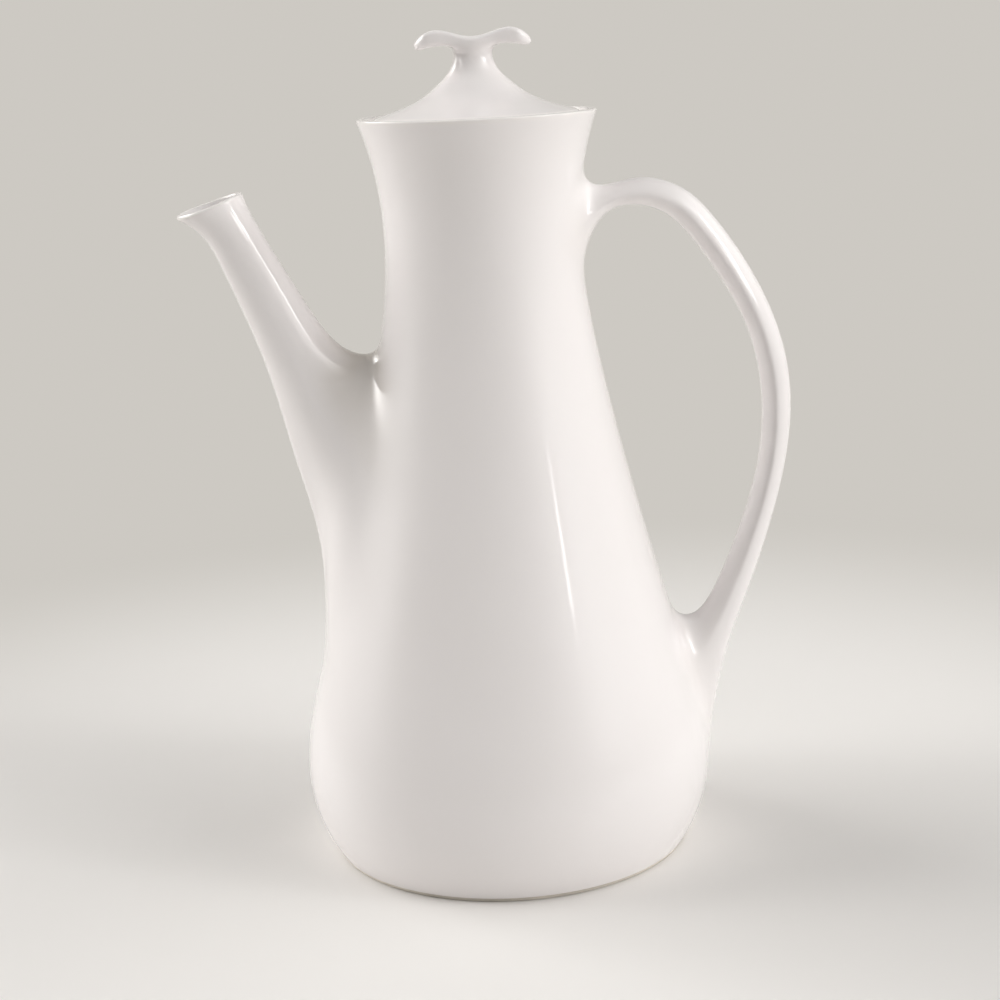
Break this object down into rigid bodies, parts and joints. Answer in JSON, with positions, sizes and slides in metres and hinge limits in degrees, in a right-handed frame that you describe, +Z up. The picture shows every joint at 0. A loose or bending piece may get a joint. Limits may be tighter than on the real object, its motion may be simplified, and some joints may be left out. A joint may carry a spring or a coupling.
{
  "type": "coffee pot",
  "caption": "Tall white porcelain coffee pot with a long flared spout, a curved strap handle and a loose bell-shaped lid with a winged knob.",
  "frame": {"origin": "centre of the foot ring's resting face, under the pot's axis", "axes": "+Z up along the pot's axis, -X towards the spout, +X towards the handle"},
  "size_m": [0.1822, 0.1258, 0.2496],
  "materials": {
    "glaze": "clear glossy glaze over white porcelain",
    "bare_porcelain": "dry, unglazed, ground smooth"
  },
  "bodies": {
    "pot": {"body": "glaze", "foot_ring": "bare_porcelain", "spout": "glaze", "handle": "glaze"},
    "lid": {"lid_cover": "glaze", "lid_flange": "glaze", "knob": "glaze"}
  },
  "joints": [
    {"name": "lid_lift", "type": "slide", "parent": "pot", "child": "lid", "axis": [0, 0, 1], "range_m": [0, 0.06]}
  ]
}
